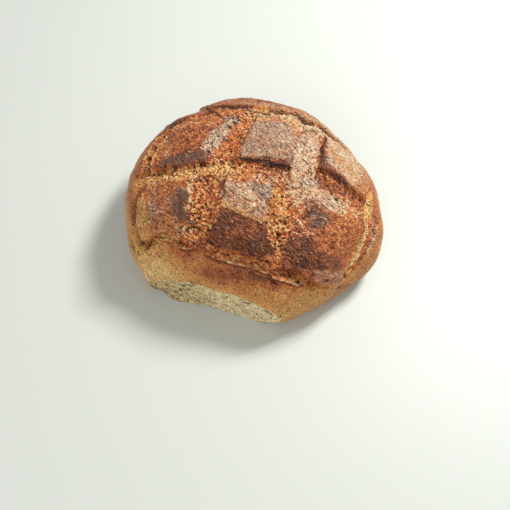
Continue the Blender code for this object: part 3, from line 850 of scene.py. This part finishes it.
def shell_points(directions):
    """The shell's points in millimetres, and the two sets of four values that the finish reads there."""
    angle, over, on_base = over_crust(directions)
    u, v = over * np.cos(angle), over * np.sin(angle)
    plain = bare_form(u, v)[0]
    coarse_u, coarse_v = (lumps(plain, *waver) for waver in COARSE_WAVER)
    fine_u, fine_v = (lumps(plain, *waver) for waver in FINE_WAVER)
    tiny_u, tiny_v = (lumps(plain, *waver) for waver in TINY_WAVER)
    ragged_u, ragged_v = u + coarse_u + 0.4 * fine_u, v + coarse_v + 0.4 * fine_v
    spread_u, spread_v = ragged_u + 0.8 * fine_u + 0.5 * tiny_u, ragged_v + 0.8 * fine_v + 0.5 * tiny_v
    drift = lumps(plain, *BROAD_DRIFT) + 0.5 * lumps(plain, *NARROW_DRIFT)

    bare, crumb = bare_form(u, v, TORN_TOP_RAGGED * (coarse_u + 0.7 * fine_u))
    cut, floor, flank_near, wall = cut_relief(ragged_u, ragged_v, coarse_u)
    cracked, crack_shade, lip_highlight = crack_relief(ragged_u, ragged_v)
    depth, inside = hole_depth(ragged_u, ragged_v)
    state = bake_state(spread_u, spread_v, floor, flank_near, wall, crack_shade, lip_highlight, drift)
    dust, rough = state[1], state[3]
    skin, crest, pits, low = skin_relief(ragged_u, ragged_v, angle, over, plain, rough)
    torn, tufts, pores = torn_crumb(u, plain, depth)

    crust = cut + cracked - depth + skin
    for size, rise, seed in SWELLS:
        crust += rise * lumps(bare, size, seed)
    level = bare[:, 2]
    relief = crust * ease(level / PLAIN_FOOT) * (1 - crumb) + torn * crumb * grown(ease(level / 2), 0.4)
    points = bare + relief[:, None] * outward(u, v)
    points[:, :2] += CROWN_PLACE
    points[:, 2] = np.where(on_base, 0, np.maximum(points[:, 2], 0.1))
    crest += (tufts - crest) * crumb
    pits = 0.6 * pits * (1 - 0.6 * dust) * (1 - crumb)
    # holes, cracks, pits and pores get painted shade
    hollow_shade = np.maximum.reduce((inside, crack_shade, pits, pores * crumb))
    return points, state.T, np.stack((crumb, hollow_shade, np.clip(crest, 0, 1), low), axis=1)


def raise_shell():
    """Blows a finely divided cube, open below, up into the loaf, and closes it with its flat base."""
    shape = bmesh.new()
    bmesh.ops.create_cube(shape, size=2)
    below = min(shape.faces, key=lambda face: face.calc_center_median().z)
    bmesh.ops.delete(shape, geom=[below], context="FACES_ONLY")
    bmesh.ops.subdivide_edges(shape, edges=shape.edges[:], cuts=CELLS - 1, use_grid_fill=True)
    cube = np.array([vertex.co for vertex in shape.verts])
    even = np.tan(cube * math.pi / 4)
    points, state, kind = shell_points(even / np.linalg.norm(even, axis=1)[:, None])
    for vertex, point in zip(shape.verts, points):
        vertex.co = point * MM
    rim = [edge for edge in shape.edges if edge.is_boundary]
    for edge in rim:
        edge.smooth = False
    bmesh.ops.holes_fill(shape, edges=rim, sides=0)
    bmesh.ops.recalc_face_normals(shape, faces=shape.faces[:])
    mesh = bpy.data.meshes.new("bread")
    shape.to_mesh(mesh)
    shape.free()
    mesh.shade_smooth()
    for name, values in (("state", state), ("kind", kind)):
        layer = mesh.attributes.new(name, "FLOAT_COLOR", "POINT")
        layer.data.foreach_set("color", values.astype(np.float32).ravel())
    bread = bpy.data.objects.new("bread", mesh)
    bpy.context.scene.collection.objects.link(bread)
    return bread


bread = raise_shell()


# The finish
# Crust that went from pale gold through orange to dark brown as it baked, dull, with pale flour and painted
# sheen, painted highlights on its crests and painted shade in its hollows, and the grey-cream crumb of
# whole wheat flour with its bran.


def tone(red, green, blue):
    """A colour given as it shows on a screen, 0 to 255, in the linear values that a shader takes."""
    shares = (c / 255 for c in (red, green, blue))
    return (*(s / 12.92 if s <= 0.04045 else ((s + 0.055) / 1.055) ** 2.4 for s in shares), 1)


SKIN_TONES = (
    (0.00, tone(240, 198, 134)),
    (0.20, tone(220, 164, 94)),
    (0.36, tone(206, 138, 70)),
    (0.50, tone(192, 112, 56)),
    (0.64, tone(166, 88, 42)),
    (0.80, tone(126, 65, 32)),
    (1.00, tone(80, 44, 26)),
)
TORN_TONES = (
    (0.00, tone(248, 208, 140)),
    (0.20, tone(228, 172, 98)),
    (0.36, tone(214, 138, 66)),
    (0.50, tone(206, 108, 48)),
    (0.64, tone(174, 84, 40)),
    (0.80, tone(128, 61, 30)),
    (1.00, tone(72, 38, 24)),
)
# pale dust, which also paints the crust's sheen
DUST_AND_SHEEN_TONE = tone(224, 204, 180)
VEIL_AND_SHEEN_TONE = tone(210, 188, 156)
SCORCH_TONE = tone(84, 70, 62)
# pale flecks: partly pale crust, partly painted highlight on the crests
FLECK_AND_HIGHLIGHT_TONE = tone(248, 212, 160)
# painted shade in holes, cracks, pits and pinholes
HOLLOW_SHADE_TONE = tone(54, 26, 14)
SHADE_TONE = tone(92, 44, 20)
CRUMB_TONE = tone(250, 232, 184)
CRUMB_SHADE_TONE = tone(212, 184, 128)
# bran, and the painted shade in the crumb's pores
BRAN_AND_PORE_SHADE_TONE = tone(104, 74, 36)

# Metres between the swells or points of each pattern.
BROAD = 0.014
FLECKS = 0.0017
GRIT = 0.0011
STRANDS = 0.0012
STRAND_STRETCH = (3.0, 1, 1)  # along the strands, across them and up
PINHOLES = 0.0036
BRAN = 0.0021
FLECK_RELIEF = 0.0026  # metres that the pattern's full height stands for
FINE_RELIEF = 0.0018


class Finish:
    """A material's node tree, with short ways to add the nodes that this loaf's finish is made of."""

    def __init__(self, name):
        self.material = bpy.data.materials.new(name)
        self.material.use_nodes = True
        self.tree = self.material.node_tree
        self.surface = self.tree.nodes["Principled BSDF"]
        self.place = self.tree.nodes.new("ShaderNodeTexCoord").outputs["Object"]

    def join(self, value, socket):
        """Feeds a socket from another node's output, or sets it to a plain value."""
        if isinstance(value, bpy.types.NodeSocket):
            self.tree.links.new(value, socket)
        else:
            socket.default_value = value

    def state(self, name):
        """The four values that the mesh carries under this name."""
        carried = self.tree.nodes.new("ShaderNodeAttribute")
        carried.attribute_name = name
        parts = self.tree.nodes.new("ShaderNodeSeparateColor")
        self.join(carried.outputs["Color"], parts.inputs[0])
        return (*parts.outputs, carried.outputs["Alpha"])

    def cloud(self, size, detail=3.0, stretch=None, turn=0.0):
        """Soft noise from 0 to 1, its swells size metres apart."""
        node = self.tree.nodes.new("ShaderNodeTexNoise")
        node.inputs["Scale"].default_value = 1 / size
        node.inputs["Detail"].default_value = detail
        place = self.place
        if stretch:
            mapping = self.tree.nodes.new("ShaderNodeMapping")
            mapping.vector_type = "TEXTURE"
            mapping.inputs["Rotation"].default_value = (0, 0, turn)
            mapping.inputs["Scale"].default_value = stretch
            self.join(place, mapping.inputs["Vector"])
            place = mapping.outputs[0]
        self.join(place, node.inputs["Vector"])
        return node.outputs["Fac"]

    def cells(self, size):
        """Distance to the nearest of many scattered points, size metres apart."""
        node = self.tree.nodes.new("ShaderNodeTexVoronoi")
        node.inputs["Scale"].default_value = 1 / size
        self.join(self.place, node.inputs["Vector"])
        return node.outputs["Distance"]

    def maths(self, kind, a, b):
        """One kind of sum, such as ADD, of two values."""
        node = self.tree.nodes.new("ShaderNodeMath")
        node.operation = kind
        self.join(a, node.inputs[0])
        self.join(b, node.inputs[1])
        return node.outputs[0]

    def times(self, *values):
        """The product of all the values."""
        product = values[0]
        for value in values[1:]:
            product = self.maths("MULTIPLY", product, value)
        return product

    def plus(self, *values):
        """The sum of all the values."""
        total = values[0]
        for value in values[1:]:
            total = self.maths("ADD", total, value)
        return total

    def rest(self, share):
        """What a share leaves of 1."""
        return self.maths("SUBTRACT", 1.0, share)

    def swing(self, field, size):
        """A field from 0 to 1 as a swing about zero, size wide."""
        return self.times(self.plus(field, -0.5), size)

    def step(self, value, low, high):
        """0 up to low, 1 from high on and smooth between them, also where low is the greater."""
        node = self.tree.nodes.new("ShaderNodeMapRange")
        node.interpolation_type = "SMOOTHSTEP"
        self.join(value, node.inputs["Value"])
        self.join(low, node.inputs["From Min"])
        self.join(high, node.inputs["From Max"])
        return node.outputs["Result"]

    def blend(self, share, first, second):
        """The first colour, turned into the second by a share from 0 to 1."""
        node = self.tree.nodes.new("ShaderNodeMix")
        node.data_type = "RGBA"
        self.join(share, node.inputs[0])
        self.join(first, node.inputs[6])
        self.join(second, node.inputs[7])
        return node.outputs[2]

    def ramp(self, value, tones):
        """A colour read off a row of tones."""
        node = self.tree.nodes.new("ShaderNodeValToRGB")
        row = node.color_ramp.elements
        while len(row) < len(tones):
            row.new(0.5)
        for element, (place, colour) in zip(row, tones):
            element.position = place
            element.color = colour
        self.join(value, node.inputs[0])
        return node.outputs[0]

    def bump(self, height, distance, normal=None):
        """Roughens the shading by a height from 0 to 1 that stands for distance metres."""
        node = self.tree.nodes.new("ShaderNodeBump")
        node.inputs["Distance"].default_value = distance
        self.join(height, node.inputs["Height"])
        if normal:
            self.join(normal, node.inputs["Normal"])
        return node.outputs[0]


def crust_colour(made, state, calm, hollow_shade, broad, grain, high):
    """The crust's colour: its bake, painted light on its crests and painted shade in its low places and
    hollows, and where dust and painted sheen lie on its crests.
    """
    bake, dust, scorch, rough = state
    wild = made.rest(made.times(calm, 0.72))
    clean = made.rest(made.times(dust, 0.5))
    # crests painted lighter and low places darker: painted light and shade on the fine relief
    unrest = made.times(made.plus(0.72, made.times(rough, 0.78)), wild)
    bake_and_crest_light = made.plus(bake, made.swing(broad, 0.16), made.times(made.swing(high, -0.40), unrest))
    shredded_there = made.step(rough, 0.1, 0.7)
    colour = made.blend(shredded_there, made.ramp(bake_and_crest_light, SKIN_TONES), made.ramp(bake_and_crest_light, TORN_TONES))

    ashy = made.step(made.plus(scorch, made.swing(broad, 0.7), made.times(grain, 0.7)), 0.10, 1.1)
    colour = made.blend(made.times(ashy, 0.85), colour, SCORCH_TONE)
    # a veil of dust and painted sheen
    veil_and_sheen = made.times(dust, made.plus(0.68, made.swing(broad, 0.5), made.times(grain, 0.9)))
    colour = made.blend(made.step(veil_and_sheen, 0.02, 1.0), colour, VEIL_AND_SHEEN_TONE)
    # dust and painted sheen on the crests
    cover = made.plus(1.06, made.times(dust, -0.80), made.swing(broad, -0.3))
    dust_and_sheen_cover = made.step(high, cover, made.plus(cover, 0.4))
    colour = made.blend(made.times(dust_and_sheen_cover, 0.6), colour, DUST_AND_SHEEN_TONE)

    # pale flecks on the crests: partly pale crust, partly painted highlight
    flecks_and_highlight = made.times(made.step(high, 0.70, 1.2), made.plus(0.10, made.times(rough, 0.80)), wild)
    colour = made.blend(flecks_and_highlight, colour, FLECK_AND_HIGHLIGHT_TONE)
    shaded = made.times(made.step(high, 0.28, -0.15), made.plus(0.2, made.times(rough, 0.7)), wild, clean)
    colour = made.blend(shaded, colour, SHADE_TONE)
    # pinholes painted dark: painted shade in tiny holes
    pinholes = made.times(made.step(made.cells(PINHOLES), 0.2, 0.12), made.step(broad, 0.4, 0.6))
    colour = made.blend(made.times(pinholes, rough, 0.51), colour, HOLLOW_SHADE_TONE)
    # holes, cracks and pits painted dark: painted shade
    return made.blend(made.times(hollow_shade, 0.9), colour, HOLLOW_SHADE_TONE), dust_and_sheen_cover


def crumb_colour(made, hollow_shade, broad, high):
    """The crumb's colour: cream tufts, shade between them, specks of bran, and painted shade in its pores.
    """
    low = made.step(made.plus(high, made.swing(broad, 0.6)), 0.75, 0.15)
    colour = made.blend(low, CRUMB_TONE, CRUMB_SHADE_TONE)
    bran = made.step(made.cells(BRAN), 0.16, 0.08)
    colour = made.blend(made.times(bran, 0.35), colour, BRAN_AND_PORE_SHADE_TONE)
    # the pores painted dark: painted shade
    return made.blend(made.times(hollow_shade, 0.85), colour, BRAN_AND_PORE_SHADE_TONE)


def bread_finish():
    """Crust and crumb in one finish, told apart by what the shell carries."""
    made = Finish("crust and crumb")
    state = made.state("state")
    crumb, hollow_shade, crest, calm = made.state("kind")
    rough = state[3]
    broad = made.cloud(BROAD)
    flecks = made.cloud(FLECKS, 2)
    grit = made.cloud(GRIT, 0)
    strands = made.cloud(STRANDS, 1, STRAND_STRETCH, math.radians(SKIN_RUN))
    mixed = made.plus(made.swing(strands, 1.7), made.swing(flecks, 0.7), made.swing(grit, 1.0))
    grain = made.times(mixed, made.plus(0.75, made.times(rough, 0.4)))
    high = made.plus(made.times(crest, 1.1), -0.05, grain)

    crust, dust_and_sheen_cover = crust_colour(made, state, calm, hollow_shade, broad, grain, high)
    torn = made.step(made.plus(crumb, made.swing(flecks, 0.6)), 0.35, 0.65)
    colour = made.blend(torn, crust, crumb_colour(made, hollow_shade, broad, high))
    made.join(colour, made.surface.inputs["Base Color"])
    dull = made.plus(0.39, made.times(made.plus(rough, dust_and_sheen_cover, torn), 0.22), made.swing(flecks, 0.3))
    made.join(dull, made.surface.inputs["Roughness"])
    made.surface.inputs["Specular IOR Level"].default_value = 0.4
    fine = made.plus(made.times(strands, 0.8), made.times(grit, 0.7))
    shading = made.bump(fine, FINE_RELIEF, made.bump(flecks, FLECK_RELIEF))
    made.join(shading, made.surface.inputs["Normal"])
    return made.material


bread.data.materials.append(bread_finish())
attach(bread, "root")
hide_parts("loaf")


# The table and the light
# A plain pale table top, a window's soft light from the back right, a wide weak light from the front
# left, and a bright room around them.

TABLE_HALF = 3.0
TABLE_GAP = 0.0004
LOAF_MIDDLE = (0, 0, 0.04)
ROOM_STRENGTH = 0.40


def table_top():
    """A wide flat sheet, just under the loaf."""
    shape = bmesh.new()
    bmesh.ops.create_grid(shape, x_segments=1, y_segments=1, size=TABLE_HALF)
    mesh = bpy.data.meshes.new("table_top")
    shape.to_mesh(mesh)
    shape.free()
    table = bpy.data.objects.new("table_top", mesh)
    table.location.z = -TABLE_GAP
    bpy.context.scene.collection.objects.link(table)
    paint = bpy.data.materials.new("pale table")
    paint.use_nodes = True
    surface = paint.node_tree.nodes["Principled BSDF"]
    surface.inputs["Base Color"].default_value = tone(204, 208, 200)
    surface.inputs["Roughness"].default_value = 0.5
    mesh.materials.append(paint)


def soft_light(name, place, size, power):
    """A square soft light that looks at the loaf."""
    light = bpy.data.lights.new(name, "AREA")
    light.size = size
    light.energy = power
    lamp = bpy.data.objects.new(name, light)
    lamp.location = place
    lamp.rotation_mode = "QUATERNION"
    lamp.rotation_quaternion = (Vector(LOAF_MIDDLE) - lamp.location).to_track_quat("-Z", "Y")
    bpy.context.scene.collection.objects.link(lamp)


table_top()
soft_light("window", place=(0.62, 0.50, 0.95), size=0.3, power=17)
soft_light("room", place=(-0.6, -1.1, 0.7), size=1.2, power=9)
room = bpy.data.worlds.new("bright room")
room.use_nodes = True
room.node_tree.nodes["Background"].inputs["Color"].default_value = (1, 1, 1, 1)
room.node_tree.nodes["Background"].inputs["Strength"].default_value = ROOM_STRENGTH
bpy.context.scene.world = room
bpy.context.scene.view_settings.view_transform = "Standard"


# The camera
# It looks down on the loaf from the front, a little from the left and a little over half a metre
# away.

EYE = (-8.92, -326.99, 484.44)  # millimetres from the point of the base under the crown
EYE_RIGHT = (0.99979, -0.00726, 0.01916)
EYE_BACK = (-0.02013, -0.52202, 0.85269)
LENS_MM = 49.62
SENSOR_MM = 36

lens = bpy.data.cameras.new("camera")
lens.sensor_width = SENSOR_MM
lens.lens = LENS_MM
camera = bpy.data.objects.new("camera", lens)
right, back = Vector(EYE_RIGHT).normalized(), Vector(EYE_BACK).normalized()
facing = Matrix((right, back.cross(right), back)).transposed().to_4x4()
camera.matrix_world = Matrix.Translation((Vector(EYE) + Vector((*CROWN_PLACE, 0))) * MM) @ facing
bpy.context.scene.collection.objects.link(camera)
bpy.context.scene.camera = camera
